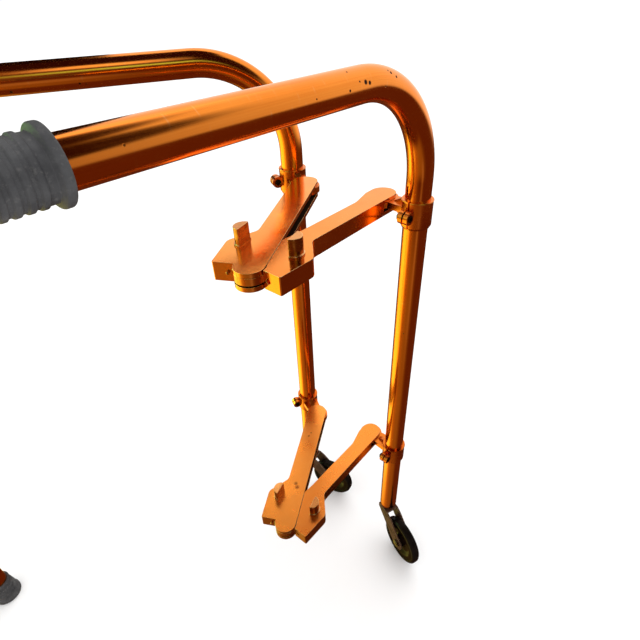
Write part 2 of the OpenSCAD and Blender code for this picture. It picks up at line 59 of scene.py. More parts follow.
JOINTS = {joint["name"]: joint for joint in frame["joints"]}

# Sizes of the design, in millimetres
TUBE_R_MM = 12.7
TUBE_WALL_MM = 1.6
BEND_R_MM = 95
TUBE_FOOT_MM = 83       # height of the front leg's end above the floor
SWAGE_H_MM = 8          # the leg's end is drawn in over this height
SWAGE_IN_MM = 2.6       # and by this much
BORE_R_MM = 12.75       # of the grips and the rear tips
WHEEL_R_MM = 38
RIM_R_MM = 31
BUSH_R_MM = 6


# ---------------------------------------------------------------- places
def joint_place(name):
    return Vector(JOINTS[name]["pos_m"])


def on_floor(point):
    return Vector((point.x, point.y, 0))


def space(origin, x_axis, y_axis, z_axis=UP):
    """Matrix of a space with this origin and these axes, which are square to each other."""
    matrix = Matrix((x_axis.normalized(), y_axis.normalized(), z_axis)).transposed().to_4x4()
    matrix.translation = origin
    return matrix


def leg_and_tip(side):
    """Places on the floor under the front leg and under the rear tip."""
    low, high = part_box(side + "_rear_tip")
    return on_floor(joint_place(side + "_caster_swivel")), on_floor((low + high) / 2)


def frame_space(side):
    """Origin on the floor under the front leg, +Y forwards along the side frame, +X right."""
    leg, tip = leg_and_tip(side)
    forwards = leg - tip
    return space(leg, Vector((forwards.y, -forwards.x, 0)), forwards)


def frame_depth(side):
    leg, tip = leg_and_tip(side)
    return (leg - tip).length


def axle_space(side):
    """Origin at the middle of the axle, +Z along it."""
    along = Vector(JOINTS[side + "_wheel_spin"]["axis"]).normalized()
    return space(joint_place(side + "_wheel_spin"), UP.cross(along), UP, along)


def arm_space(side, level):
    """Origin on the arm's top face at the centre hinge, +X to the clamp pivot. +Y points away
    from the other arm. The lower clamp pivots are straight below the upper ones."""
    hinge = on_floor(joint_place(level + "_centre_hinge"))
    pivots = {s: on_floor(joint_place("upper_" + s + "_pivot")) for s in SIDES}
    along = (pivots[side] - hinge).normalized()
    other = (pivots["right" if side == "left" else "left"] - hinge).normalized()
    outwards = along * along.dot(other) - other
    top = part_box(level + "_" + side + "_arm")[1].z
    return space(hinge + UP * top, along, outwards)


# ---------------------------------------------------------------- mesh building
def new_object(name, mesh):
    obj = bpy.data.objects.new(name, mesh)
    bpy.context.scene.collection.objects.link(obj)
    return obj


def finish_mesh(name, bm, matrix=Matrix.Identity(4), turn_outwards=True):
    """Makes an object of a bmesh that was built in the space with this matrix."""
    bmesh.ops.remove_doubles(bm, verts=bm.verts, dist=1e-7)
    if turn_outwards:
        bmesh.ops.recalc_face_normals(bm, faces=bm.faces)
    mesh = bpy.data.meshes.new(name)
    bm.to_mesh(mesh)
    bm.free()
    mesh.transform(matrix)
    return new_object(name, mesh)


def ring_of_faces(bm, ring, after):
    """Faces between two rings of vertices. A ring may be one vertex, repeated."""
    for i in range(len(ring)):
        j = (i + 1) % len(ring)
        bm.faces.new(list(dict.fromkeys((ring[i], ring[j], after[j], after[i]))))


def shade(obj, sharp_degrees):
    """Smooth shading that keeps edges sharper than the angle, weighted by face area."""
    obj.data.shade_smooth()
    obj.data.set_sharp_from_angle(angle=math.radians(sharp_degrees))
    weighted = obj.modifiers.new("weighted_normals", "WEIGHTED_NORMAL")
    weighted.keep_sharp = True
    return obj


def revolve(name, profile_mm, matrix, segments=96, sharp_degrees=35):
    """Turns a closed profile of (radius, height) points about the local Z axis."""
    bm = bmesh.new()
    rings = []
    for radius, height in profile_mm:
        if radius == 0:
            rings.append([bm.verts.new((0, 0, height * MM))] * segments)
            continue
        angles = (2 * math.pi * i / segments for i in range(segments))
        rings.append([bm.verts.new((radius * MM * math.cos(a), radius * MM * math.sin(a), height * MM))
                      for a in angles])
    for k, ring in enumerate(rings):
        after = rings[(k + 1) % len(rings)]
        both_on_axis = ring[0] is ring[1] and after[0] is after[1]
        if not both_on_axis:
            ring_of_faces(bm, ring, after)
    return shade(finish_mesh(name, bm, matrix), sharp_degrees)


def rounded_profile(corners):
    """Profile points from corners (radius, height, rounding), each rounding drawn as an arc."""
    arc_step = 15  # degrees
    points = []
    count = len(corners)
    for k, (x, y, rounding) in enumerate(corners):
        here = Vector((x, y))
        if rounding == 0:
            points.append((x, y))
            continue
        before = (Vector(corners[k - 1][:2]) - here).normalized()
        after = (Vector(corners[(k + 1) % count][:2]) - here).normalized()
        half = before.angle(after) / 2
        centre = here + (before + after).normalized() * rounding / math.sin(half)
        start = here + before * rounding / math.tan(half) - centre
        end = here + after * rounding / math.tan(half) - centre
        sweep = math.pi - 2 * half
        steps = max(2, math.ceil(math.degrees(sweep) / arc_step))
        for i in range(steps + 1):
            t = i / steps
            spoke = start * math.sin((1 - t) * sweep) + end * math.sin(t * sweep)
            points.append(tuple(centre + spoke / math.sin(sweep)))
    return points


def bevelled_copy(name, node, bevel_mm, segments=3, is_inner=None):
    """A copy of a CAD node with its flat faces made whole and its sharp edges broken.
    The new edge faces carry the attribute "edge", which the materials read as wear and as a painted
    highlight, and faces that is_inner picks carry the attribute "inner"."""
    weld, flat_degrees, sharp_degrees = 2e-6, 0.6, 28
    bm = bmesh.new()
    bm.from_mesh(frame["nodes"][node].data)
    bmesh.ops.remove_doubles(bm, verts=bm.verts, dist=weld)
    bmesh.ops.dissolve_limit(bm, angle_limit=math.radians(flat_degrees), verts=bm.verts, edges=bm.edges)
    edge_layer = bm.faces.layers.float.new("edge")
    inner_layer = bm.faces.layers.float.new("inner")
    for face in bm.faces:
        if is_inner is not None and is_inner(face):
            face[inner_layer] = 1.0
    limit = math.radians(sharp_degrees)
    sharp = [e for e in bm.edges if len(e.link_faces) == 2 and e.calc_face_angle(0) > limit]
    made = bmesh.ops.bevel(
        bm, geom=sharp, offset=bevel_mm * MM, offset_type="OFFSET", segments=segments,
        profile=0.5, affect="EDGES", clamp_overlap=True, miter_outer="ARC")
    for face in made["faces"]:
        face[edge_layer] = 1.0 if face[inner_layer] == 0 else 0.0
    return shade(finish_mesh(name, bm, turn_outwards=False), 40)


def stands_for(piece, node, body, material):
    """A new piece that is shown in place of a CAD node and moves with the body."""
    piece.data.materials.append(material)
    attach(piece, body)
    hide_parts(node)
    return piece


# ---------------------------------------------------------------- materials
class Nodes:
    """Short calls for building a node tree."""

    def __init__(self, tree):
        self.tree = tree

    def put(self, socket, value):
        if isinstance(value, bpy.types.NodeSocket):
            self.tree.links.new(value, socket)
        else:
            socket.default_value = value

    def add(self, kind, inputs=(), **settings):
        made = self.tree.nodes.new(kind)
        for key, value in settings.items():
            setattr(made, key, value)
        for key, value in dict(inputs).items():
            self.put(made.inputs[key], value)
        return made

    def math(self, operation, a, b=0.0):
        return self.add("ShaderNodeMath", {0: a, 1: b}, operation=operation).outputs[0]

    def times(self, a, b):
        return self.math("MULTIPLY", a, b)

    def remap(self, value, low, high, to_low=0.0, to_high=1.0):
        return self.add("ShaderNodeMapRange", {
            "Value": value, "From Min": low, "From Max": high, "To Min": to_low,
            "To Max": to_high}, interpolation_type="SMOOTHSTEP").outputs["Result"]

    def mix(self, factor, a, b):
        """Colour a where the factor is 0, and colour b where it is 1."""
        made = self.add("ShaderNodeMix", data_type="RGBA")
        self.put(made.inputs["Factor"], factor)
        for socket, value in ((made.inputs[6], a), (made.inputs[7], b)):
            self.put(socket, value if isinstance(value, bpy.types.NodeSocket) else (*value, 1.0))
        return made.outputs[2]

    def mix_value(self, factor, a, b):
        made = self.add("ShaderNodeMix", data_type="FLOAT")
        for socket, value in ((made.inputs["Factor"], factor), (made.inputs[2], a), (made.inputs[3], b)):
            self.put(socket, value)
        return made.outputs[0]


class Shader(Nodes):
    """The nodes of a new material."""

    def __init__(self, name):
        self.material = bpy.data.materials.new(name)
        self.material.use_nodes = True
        super().__init__(self.material.node_tree)
        self.bsdf = self.tree.nodes["Principled BSDF"]
        self.object_coords = self.add("ShaderNodeTexCoord").outputs["Object"]

    def set(self, **values):
        for key, value in values.items():
            self.put(self.bsdf.inputs[key.replace("_", " ")], value)

    def attribute(self, name):
        return self.add("ShaderNodeAttribute", attribute_name=name)

    def stretched(self, vector, scale, turn=(0, 0, 0)):
        radians = tuple(math.radians(t) for t in turn)
        inputs = {"Vector": vector, "Scale": scale, "Rotation": radians}
        return self.add("ShaderNodeMapping", inputs).outputs[0]

    def noise(self, scale, vector=None, detail=3.0, roughness=0.5):
        return self.add("ShaderNodeTexNoise", {
            "Vector": vector or self.object_coords, "Scale": scale, "Detail": detail,
            "Roughness": roughness}).outputs["Fac"]

    def upright(self):
        """1 on a face that looks up, 0 on a wall, -1 on a face that looks down."""
        normal = self.add("ShaderNodeNewGeometry").outputs["Normal"]
        return self.add("ShaderNodeSeparateXYZ", {0: normal}).outputs[2]

    def bump(self, height, depth, strength):
        inputs = {"Height": height, "Distance": depth, "Strength": strength}
        return self.add("ShaderNodeBump", inputs).outputs[0]

    def spots(self, vector, places, radius, blur=0.35):
        """1 inside small round marks at the places, each (x, y, z, size times radius)."""
        total = 0.0
        for x, y, z, size in places:
            away = self.add("ShaderNodeVectorMath", {0: vector, 1: (x, y, z)}, operation="DISTANCE")
            outside, inside = radius * size * (1 + blur), radius * size * (1 - blur)
            mark = self.remap(away.outputs["Value"], outside, inside)
            total = self.math("MAXIMUM", total, mark)
        return total


# Colours of the finishes, linear, each as a darker and a lighter tone
TUBE_TONES = ((0.84, 0.245, 0.03), (0.92, 0.30, 0.043))
CAST_TONES = ((0.90, 0.28, 0.045), (0.95, 0.335, 0.066))
CLAMP_TONES = ((0.55, 0.13, 0.018), (0.82, 0.235, 0.035))
PEG_TONES = ((0.30, 0.10, 0.018), (0.50, 0.20, 0.045))
ZINC_TONES = ((0.42, 0.39, 0.35), (0.62, 0.59, 0.54))
DULL_STEEL_TONES = ((0.11, 0.09, 0.075), (0.20, 0.17, 0.14))
YELLOW_ZINC_TONES = ((0.40, 0.16, 0.05), (0.62, 0.30, 0.09))
BLACK_STEEL_TONES = ((0.02, 0.016, 0.014), (0.045, 0.036, 0.032))
ENAMEL_TONES = ((0.036, 0.017, 0.010), (0.080, 0.038, 0.022))
NYLON_TONES = ((0.012, 0.011, 0.010), (0.030, 0.027, 0.025))
WHEEL_TONES = ((0.003, 0.0015, 0.001), (0.010, 0.004, 0.002))
TYRE_TONES = ((0.003, 0.002, 0.0015), (0.008, 0.005, 0.004))
GRIP_TONES = ((0.050, 0.050, 0.053), (0.085, 0.085, 0.088))
TIP_TONES = ((0.040, 0.040, 0.042), (0.075, 0.074, 0.074))

# Single colours: wear, dirt, marks, and painted light and shade
PALE_WEAR_AND_HIGHLIGHT = (0.99, 0.68, 0.36)
PEG_TOP_HIGHLIGHT = (0.74, 0.34, 0.12)
BRONZE = (0.50, 0.33, 0.21)
ENAMEL_DUST = (0.26, 0.20, 0.15)
STAIN_AND_SHADE = (0.22, 0.07, 0.02)
SLOT_SHADE = (0.012, 0.005, 0.003)
PIT = (0.045, 0.015, 0.008)

# The lower arms are duller than the upper ones, and their upright faces get more painted shade
ARM_ROUGHNESS = {"upper": (0.11, 0.19), "lower": (0.24, 0.34)}
SIDE_SHADE = {"upper": 0.20, "lower": 0.62}
# The left arms are a little more golden than the right ones
ARM_TINT = {"left": (1.02, 1.12, 1.18), "right": (0.98, 0.98, 1.0)}

# Dark pits on the tubes: (around, along, 0, size), with the first three as in "flow"
PITS = {
    "right": [(0.0158, 0.6991, 0, 1.4), (0.0168, 0.6949, 0, 1.2), (0.0060, 0.7117, 0, 0.6),
              (0.0111, 0.6683, 0, 1.0), (0.0132, 0.6626, 0, 0.9), (0.0097, 0.6709, 0, 0.6),
              (0.0186, 0.7164, 0, 0.8), (0.0146, 0.7051, 0, 0.6), (0.0182, 0.7488, 0, 0.5),
              (0.0208, 0.6762, 0, 0.5), (0.0345, 0.3650, 0, 0.6), (0.0360, 0.3770, 0, 0.5)],
    "left": [(0.0270, 0.7900, 0, 0.9), (0.0290, 0.8450, 0, 1.2), (0.0280, 0.7850, 0, 0.6)],
}
# Blotches on the lower left arm, (x, y, z, size) in the arm's space
ARM_BLOTCHES = ((0.052, -0.001, 0, 2.6), (0.057, 0.002, 0, 2.2), (0.139, 0.003, 0, 1.3),
                (0.145, 0.001, 0, 1.1))


def tinted(tones, tint):
    return tuple(tuple(c * t for c, t in zip(tone, tint)) for tone in tones)


def tube_finish(name, pits):
    """Bright copper-coloured anodising on drawn tube: lengthwise draw lines, faint rub marks and
    a few dark pits. "flow" holds (around, along, 0) on the tube, in metres."""
    s = Shader(name)
    flow = s.attribute("flow").outputs["Vector"]
    streaks = s.noise(1.0, s.stretched(flow, (900, 6, 1)), detail=4)
    fine = s.noise(1.0, s.stretched(flow, (4200, 30, 1)), detail=2)
    cloud = s.noise(9.0, detail=5, roughness=0.6)
    rub = s.noise(1.0, s.stretched(flow, (60, 420, 1)), detail=3)

    tone = s.math("ADD", s.times(streaks, 0.45), s.times(cloud, 0.55))
    colour = s.mix(s.remap(tone, 0.36, 0.66), *TUBE_TONES)
    colour = s.mix(s.times(s.remap(rub, 0.62, 0.78), 0.25), colour, PALE_WEAR_AND_HIGHLIGHT)

    # A few of the Voronoi cells, picked by their random colour, hold a faint speck
    cell = s.add("ShaderNodeTexVoronoi", {"Vector": flow, "Scale": 62.0}, voronoi_dimensions="3D")
    random = s.add("ShaderNodeSeparateColor", {0: cell.outputs["Color"]}).outputs[0]
    specks = s.times(s.remap(random, 0.94, 0.96), s.remap(cell.outputs["Distance"], 0.055, 0.03))
    marks = s.math("MAXIMUM", s.spots(flow, pits, radius=0.0011), s.times(specks, 0.75))
    colour = s.mix(marks, colour, PIT)

    roughness = s.mix_value(s.remap(cloud, 0.3, 0.7), 0.11, 0.18)
    roughness = s.math("ADD", roughness, s.times(s.remap(fine, 0.45, 0.7), 0.06))
    roughness = s.mix_value(marks, roughness, 0.6)
    height = s.math("SUBTRACT", s.times(s.math("ADD", streaks, fine), 0.05), marks)
    s.set(Base_Color=colour, Metallic=1.0, Roughness=roughness,
          Normal=s.bump(height, depth=0.00012, strength=0.55))
    return s.material


def blotches(s, places, matrix):
    """1 inside ragged marks at the places, which are given in the space with this matrix."""
    inverse = matrix.inverted()
    to_space = s.add("ShaderNodeMapping", {
        "Vector": s.object_coords, "Location": inverse.translation,
        "Rotation": inverse.to_euler()}, vector_type="POINT")
    wobble = s.add("ShaderNodeTexNoise", {"Vector": s.object_coords, "Scale": 260.0, "Detail": 4.0})
    moved = s.add("ShaderNodeVectorMath", {
        0: wobble.outputs["Color"], 1: (0.0025, 0.0025, 0.0), 2: to_space.outputs[0]},
        operation="MULTIPLY_ADD")
    return s.spots(moved.outputs[0], places, radius=0.001, blur=0.7)


def cast_finish(name, tones, rough, side_shade=0.0, marks=(), marks_space=None):
    """Satin anodised castings: fine crossed scratches, cloudy stains, upright faces darkened with
    painted shade, and paler broken edges that are partly wear and partly a painted highlight. Faces
    inside a slot carry the attribute "inner" and are dull, and painted shade makes them nearly black."""
    s = Shader(name)
    cloud = s.noise(22.0, detail=6, roughness=0.62)
    broad = s.noise(6.5, detail=2)
    grain = s.noise(900.0, detail=3, roughness=0.7)
    scratch_a = s.noise(1.0, s.stretched(s.object_coords, (90, 2600, 400), (0, 0, 38)), detail=2)
    scratch_b = s.noise(1.0, s.stretched(s.object_coords, (2300, 70, 400), (0, 0, 12)), detail=2)
    scratches = s.math("MAXIMUM", s.remap(scratch_a, 0.66, 0.76), s.remap(scratch_b, 0.67, 0.77))

    tone = s.math("ADD", s.times(cloud, 0.6), s.times(broad, 0.4))
    colour = s.mix(s.remap(tone, 0.34, 0.62), *tones)
    smudge = s.remap(s.noise(14.0, detail=3), 0.50, 0.85)
    colour = s.mix(s.times(smudge, 0.18), colour, STAIN_AND_SHADE)
    # Upright faces are darkened towards the stain colour: painted shade, stronger on the lower arms
    wall = s.remap(s.math("ABSOLUTE", s.upright()), 0.5, 0.2)
    colour = s.mix(s.times(wall, side_shade), colour, STAIN_AND_SHADE)
    if marks:
        colour = s.mix(s.times(blotches(s, marks, marks_space), 0.8), colour, STAIN_AND_SHADE)
    # Broken edges turn paler in patches: partly wear, partly a painted highlight
    edge = s.attribute("edge").outputs["Fac"]
    edge_wear_and_highlight = s.times(edge, s.remap(s.noise(140.0, detail=3), 0.30, 0.55))
    colour = s.mix(s.times(edge_wear_and_highlight, 0.95), colour, PALE_WEAR_AND_HIGHLIGHT)
    colour = s.mix(s.times(scratches, 0.22), colour, PALE_WEAR_AND_HIGHLIGHT)
    # Faces inside the slots are made nearly black: painted shade
    inner = s.attribute("inner").outputs["Fac"]
    colour = s.mix(s.times(inner, 0.96), colour, SLOT_SHADE)

    roughness = s.mix_value(s.remap(cloud, 0.3, 0.7), *rough)
    roughness = s.math("ADD", roughness, s.times(scratches, 0.10))
    roughness = s.mix_value(edge_wear_and_highlight, roughness, 0.42)
    roughness = s.mix_value(inner, roughness, 0.7)
    height = s.math("SUBTRACT", s.times(grain, 0.35), s.times(scratches, 0.4))
    s.set(Base_Color=colour, Metallic=1.0, Roughness=roughness,
          Normal=s.bump(height, depth=0.00006, strength=0.6))
    return s.material


def peg_finish(name):
    """Turned and milled posts, polished. A painted highlight makes them paler on their upward faces."""
    s = Shader(name)
    turned = s.noise(1.0, s.stretched(s.object_coords, (60, 60, 3800)), detail=3)
    cloud = s.noise(120.0, detail=4)
    colour = s.mix(s.remap(cloud, 0.32, 0.68), *PEG_TONES)
    # Faces that look up are made paler: a painted highlight
    colour = s.mix(s.remap(s.upright(), 0.6, 0.9), colour, PEG_TOP_HIGHLIGHT)
    # Edges are made paler: a painted highlight, with some wear
    edge = s.attribute("edge").outputs["Fac"]
    colour = s.mix(s.times(edge, 0.6), colour, PALE_WEAR_AND_HIGHLIGHT)
    roughness = s.mix_value(s.remap(turned, 0.35, 0.65), 0.17, 0.30)
    s.set(Base_Color=colour, Metallic=1.0, Roughness=roughness,
          Normal=s.bump(turned, depth=0.000004, strength=0.5))
    return s.material


def steel_finish(name, tones, rough=(0.22, 0.4)):
    """Plated or blackened steel with faint machining lines and tarnish."""
    s = Shader(name)
    cloud = s.noise(160.0, detail=5, roughness=0.65)
    lines = s.noise(1.0, s.stretched(s.object_coords, (300, 300, 5200)), detail=2)
    colour = s.mix(s.remap(cloud, 0.34, 0.66), *tones)
    roughness = s.mix_value(s.remap(lines, 0.3, 0.7), *rough)
    s.set(Base_Color=colour, Metallic=1.0, Roughness=roughness,
          Normal=s.bump(lines, depth=0.00003, strength=0.5))
    return s.material


def enamel_finish(name):
    """Dark brown enamel over pressed steel, with bronze edges that are partly wear and partly a painted
    highlight.
    """
    s = Shader(name)
    cloud = s.noise(70.0, detail=4)
    peel = s.noise(420.0, detail=2)
    colour = s.mix(s.remap(cloud, 0.3, 0.7), *ENAMEL_TONES)
    # Edges turn bronze in patches: partly wear, partly a painted highlight
    edge = s.attribute("edge").outputs["Fac"]
    edge_wear_and_highlight = s.times(edge, s.remap(s.noise(200.0, detail=3), 0.35, 0.6))
    colour = s.mix(s.times(edge_wear_and_highlight, 0.8), colour, BRONZE)
    dust = s.remap(s.noise(900.0, detail=3), 0.60, 0.72)
    colour = s.mix(s.times(dust, 0.10), colour, ENAMEL_DUST)
    roughness = s.mix_value(s.remap(cloud, 0.3, 0.7), 0.20, 0.34)
    s.set(Base_Color=colour, Roughness=roughness, Normal=s.bump(peel, depth=0.00008, strength=0.5),
          Specular_IOR_Level=0.06, Specular_Tint=(1.0, 0.78, 0.80, 1.0))
    return s.material


def moulded_finish(name, tones, rough, grain, dust, gloss=0.5):
    """Moulded plastic or rubber: cloudy tone, a grain of (scale, depth), and dust of (colour,
    share)."""
    s = Shader(name)
    cloud = s.noise(55.0, detail=5, roughness=0.6)
    dusty = s.remap(s.noise(350.0, detail=5, roughness=0.7), 0.52, 0.74)
    dust_colour, dust_share = dust
    colour = s.mix(s.remap(cloud, 0.3, 0.7), *tones)
    colour = s.mix(s.times(dusty, dust_share), colour, dust_colour)
    roughness = s.mix_value(s.remap(cloud, 0.3, 0.7), *rough)
    roughness = s.math("ADD", roughness, s.times(dusty, 0.12))
    grain_scale, grain_depth = grain
    height = s.noise(grain_scale, detail=2)
    s.set(Base_Color=colour, Roughness=roughness, Normal=s.bump(height, grain_depth, strength=0.8),
          Specular_IOR_Level=gloss)
    return s.material


def shared_finishes():
    """The finishes that several pieces have, by name."""
    return {
        "zinc": steel_finish("zinc_plated_steel", ZINC_TONES),
        "dull_steel": steel_finish("dulled_steel", DULL_STEEL_TONES, (0.25, 0.42)),
        "yellow_zinc": steel_finish("yellow_zinc", YELLOW_ZINC_TONES),
        "black_steel": steel_finish("black_oxide_steel", BLACK_STEEL_TONES, (0.3, 0.45)),
        "enamel": enamel_finish("dark_enamel"),
        "peg": peg_finish("polished_peg"),
        "nylon": moulded_finish(
            "black_nylon", NYLON_TONES, rough=(0.30, 0.42), grain=(1400.0, 0.00003),
            dust=((0.20, 0.17, 0.14), 0.10)),
        "wheel": moulded_finish(
            "wheel_plastic", WHEEL_TONES, rough=(0.12, 0.22), grain=(900.0, 0.00002),
            dust=((0.16, 0.10, 0.06), 0.04), gloss=0.03),
        "tyre": moulded_finish(
            "tyre_rubber", TYRE_TONES, rough=(0.20, 0.34), grain=(1500.0, 0.00004),
            dust=((0.20, 0.15, 0.11), 0.04), gloss=0.04),
        "grip": moulded_finish(
            "grip_rubber", GRIP_TONES, rough=(0.50, 0.66), grain=(1800.0, 0.00006),
            dust=((0.30, 0.28, 0.26), 0.14), gloss=0.08),
        "tip": moulded_finish(
            "tip_rubber", TIP_TONES, rough=(0.55, 0.72), grain=(1500.0, 0.00008),
            dust=((0.34, 0.31, 0.28), 0.24), gloss=0.08),
    }


# ---------------------------------------------------------------- side frames
def tube_stations(depth, rail_z, rear_end):
    """Stations along the tube: (y, z, direction angle, radius, share of bend), lengths in mm.
    The direction angle is 90 going up the front leg, 180 along the rail and 270 going down the
    rear leg. The share of bend is 1 in the middle of a bend and 0 outside it."""
    swage_steps, straight_steps, bend_steps = 6, 12, 32
    swage_top = TUBE_FOOT_MM + SWAGE_H_MM
    bend_z = rail_z - BEND_R_MM
    rail = depth - 2 * BEND_R_MM
    bend_angles = [math.radians(90 * step / bend_steps) for step in range(bend_steps + 1)]
    stations = []
    for step in range(swage_steps + 1):
        a = math.radians(90 * step / swage_steps)
        z = TUBE_FOOT_MM + SWAGE_H_MM * (1 - math.cos(a))
        stations.append((0, z, 90, TUBE_R_MM - SWAGE_IN_MM * (1 - math.sin(a)), 0))
    for step in range(1, straight_steps):
        z = swage_top + (bend_z - swage_top) * step / straight_steps
        stations.append((0, z, 90, TUBE_R_MM, 0))
    for a in bend_angles:
        stations.append((-BEND_R_MM * (1 - math.cos(a)), bend_z + BEND_R_MM * math.sin(a),
                         90 + math.degrees(a), TUBE_R_MM, math.sin(2 * a)))
    for step in range(1, straight_steps):
        stations.append((-BEND_R_MM - rail * step / straight_steps, rail_z, 180, TUBE_R_MM, 0))
    for a in bend_angles:
        stations.append((-depth + BEND_R_MM * (1 - math.sin(a)), bend_z + BEND_R_MM * math.cos(a),
                         180 + math.degrees(a), TUBE_R_MM, math.sin(2 * a)))
    for step in range(1, straight_steps + 1):
        z = bend_z + (rear_end - bend_z) * step / straight_steps
        stations.append((-depth, z, 270, TUBE_R_MM, 0))
    return stations


def build_frame_tube(side):
    """The bent tube as a closed pipe, a little flattened in its bends, as bent tube is.
    The attribute "flow" tells the material how far each point lies around and along the tube."""
    segments = 96
    flattening = 0.018
    low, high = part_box(side + "_frame_tube")
    rail_z = high.z / MM - TUBE_R_MM
    stations = tube_stations(frame_depth(side) / MM, rail_z, low.z / MM)
    bm = bmesh.new()
    flow_layer = bm.verts.layers.float_vector.new("flow")
    skins = []
    for inwards in (0, TUBE_WALL_MM):
        rings = []
        along = 0.0
        previous = None
        for y, z, angle, radius, bending in stations:
            if previous is not None:
                along += math.hypot(y - previous[0], z - previous[1])
            previous = (y, z)
            turn = math.radians(angle)
            outward = Vector((0, math.sin(turn), -math.cos(turn)))
            ring = []
            for i in range(segments):
                a = 2 * math.pi * i / segments
                r = radius - inwards
                in_plane = r * math.cos(a) * (1 - flattening * bending)
                point = Vector((r * math.sin(a), y, z)) + outward * in_plane
                vert = bm.verts.new(point * MM)
                around = (a if a <= math.pi else a - 2 * math.pi) * TUBE_R_MM
                vert[flow_layer] = Vector((around, along, 0)) * MM
                ring.append(vert)
            rings.append(ring)
        skins.append(rings)
    outer, inner = skins
    for rings in skins:
        for here, after in zip(rings, rings[1:]):
            ring_of_faces(bm, here, after)
    for end in (0, -1):
        ring_of_faces(bm, outer[end], inner[end])
    return shade(finish_mesh(side + "_bent_tube", bm, frame_space(side)), 50)


def build_grip(side):
    """Ribbed grip with a flange at its front end, on the rail."""
    start_mm, length_mm, radius_mm, flange_r_mm, flange_mm = 308, 124, 16.2, 18.5, 4.6
    ribs, first_rib, rib_pitch, rib_mm, rib_slope = 17, 10, 5.6, 4.2, 1.0
    valley_r = radius_mm - 0.9
    plain_end = length_mm - 14
    outline = [(BORE_R_MM, 0, 0), (flange_r_mm, 0, 1.6), (flange_r_mm, flange_mm, 1.6),
               (valley_r, flange_mm + 1.6, 0.8)]
    for rib in range(ribs):
        z = first_rib + rib * rib_pitch
        outline += [(valley_r, z, 0.35), (radius_mm, z + rib_slope, 0.6),
                    (radius_mm, z + rib_mm - rib_slope, 0.6), (valley_r, z + rib_mm, 0.35)]
    outline += [(valley_r, plain_end, 0.35), (radius_mm, plain_end + 2, 0.7),
                (radius_mm, length_mm, 2.2), (BORE_R_MM, length_mm, 0)]
    rail_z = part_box(side + "_frame_tube")[1].z - TUBE_R_MM * MM
    to_rail = Matrix.Translation((0, -start_mm * MM, rail_z)) @ Matrix.Rotation(math.radians(90), 4, "X")
    return revolve(side + "_ribbed_grip", rounded_profile(outline), frame_space(side) @ to_rail)


def build_rear_tip(side):
    """Bell-shaped rubber tip with a tread of rings, two bellows and a collar."""
    height_mm, floor_mm, foot_r_mm, top_r_mm, groove_mm = 40, 8, 19, 15.6, 1.2
    slope_mm, rounding = 0.6, 0.4
    tread = [(0, groove_mm, 0)]
    for start, end in ((3.6, 7), (10.2, 13.2)):
        tread += [(start - slope_mm, groove_mm, rounding), (start, 0, rounding),
                  (end, 0, rounding), (end + slope_mm, groove_mm, rounding)]
    tread += [(15.2, groove_mm, rounding), (15.8, 0, rounding)]
    side_wall = [(foot_r_mm, 0, 1.6), (foot_r_mm, 6.5, 1.8), (17.2, 9.5, 1.2), (16.6, 13, 1.2),
                 (17.4, 15.4, 1.0), (17.2, 18.6, 1.0), (15.9, 21, 1.0), (16.5, 24, 0.9),
                 (16.2, 27, 0.9), (15.0, 29.5, 0.9), (15.1, 33, 0.6), (top_r_mm, 33.8, 0.6),
                 (top_r_mm, height_mm, 1.2)]
    inside = [(BORE_R_MM, height_mm, 0.6), (BORE_R_MM, floor_mm, 0), (0, floor_mm, 0)]
    place = frame_space(side) @ Matrix.Translation((0, -frame_depth(side), 0))
    return revolve(side + "_rubber_tip", rounded_profile(tread + side_wall + inside), place)


# ---------------------------------------------------------------- casters
def build_wheel(side):
    """Moulded wheel: hub, dished web with a step, and a lipped rim."""
    half_hub, half_rim, half_web, hub_r = 8.4, 5.5, 2.2, 9.5
    one_side = [(BUSH_R_MM, half_hub, 0.5), (hub_r - 0.9, half_hub, 0.8), (hub_r, half_hub - 1.4, 0.8),
                (hub_r, half_web + 1.2, 1.0), (hub_r + 3, half_web, 1.5), (19.5, half_web, 1.4),
                (23.4, half_rim - 0.9, 1.2), (25.4, half_rim, 0.8), (RIM_R_MM, half_rim, 0)]
    other_side = [(r, -z, rounding) for r, z, rounding in reversed(one_side)]
    outline = rounded_profile(one_side + other_side)
    return revolve(side + "_wheel_moulding", outline, axle_space(side), segments=128)


def build_tyre(side):
    """Smooth tyre with rounded shoulders and a shallow step where it meets the rim."""
    half = 6.5
    one_side = [(RIM_R_MM, -half + 1.2, 0), (RIM_R_MM + 0.6, -half, 0.3), (WHEEL_R_MM - 2.4, -half, 2.4),
                (WHEEL_R_MM, -half + 3.0, 2.8)]
    other_side = [(r, -z, rounding) for r, z, rounding in reversed(one_side)]
    outline = rounded_profile(one_side + other_side)
    return revolve(side + "_tyre_ring", outline, axle_space(side), segments=144, sharp_degrees=50)


# ---------------------------------------------------------------- arms
def slot_face_test(side, level):
    """Picks the faces inside an arm's slots. Near the hinge, the right arm has a tongue instead."""
    plate, slot_height, slack = 4.3 * MM, 8.4 * MM, 0.3 * MM
    tongue_reach = 0.12
    to_arm = arm_space(side, level).inverted()

    def inside(face):
        points = [to_arm @ vert.co for vert in face.verts]
        within = all(-plate - slot_height - slack < p.z < -plate + slack for p in points)
        return within and (side == "left" or min(p.x for p in points) > tongue_reach)
    return inside


# ---------------------------------------------------------------- the object
def dress(node, material):
    """A CAD node that keeps its shape gets its finish."""
    obj = frame["nodes"][node]
    for material_slot in obj.material_slots:
        material_slot.material = material


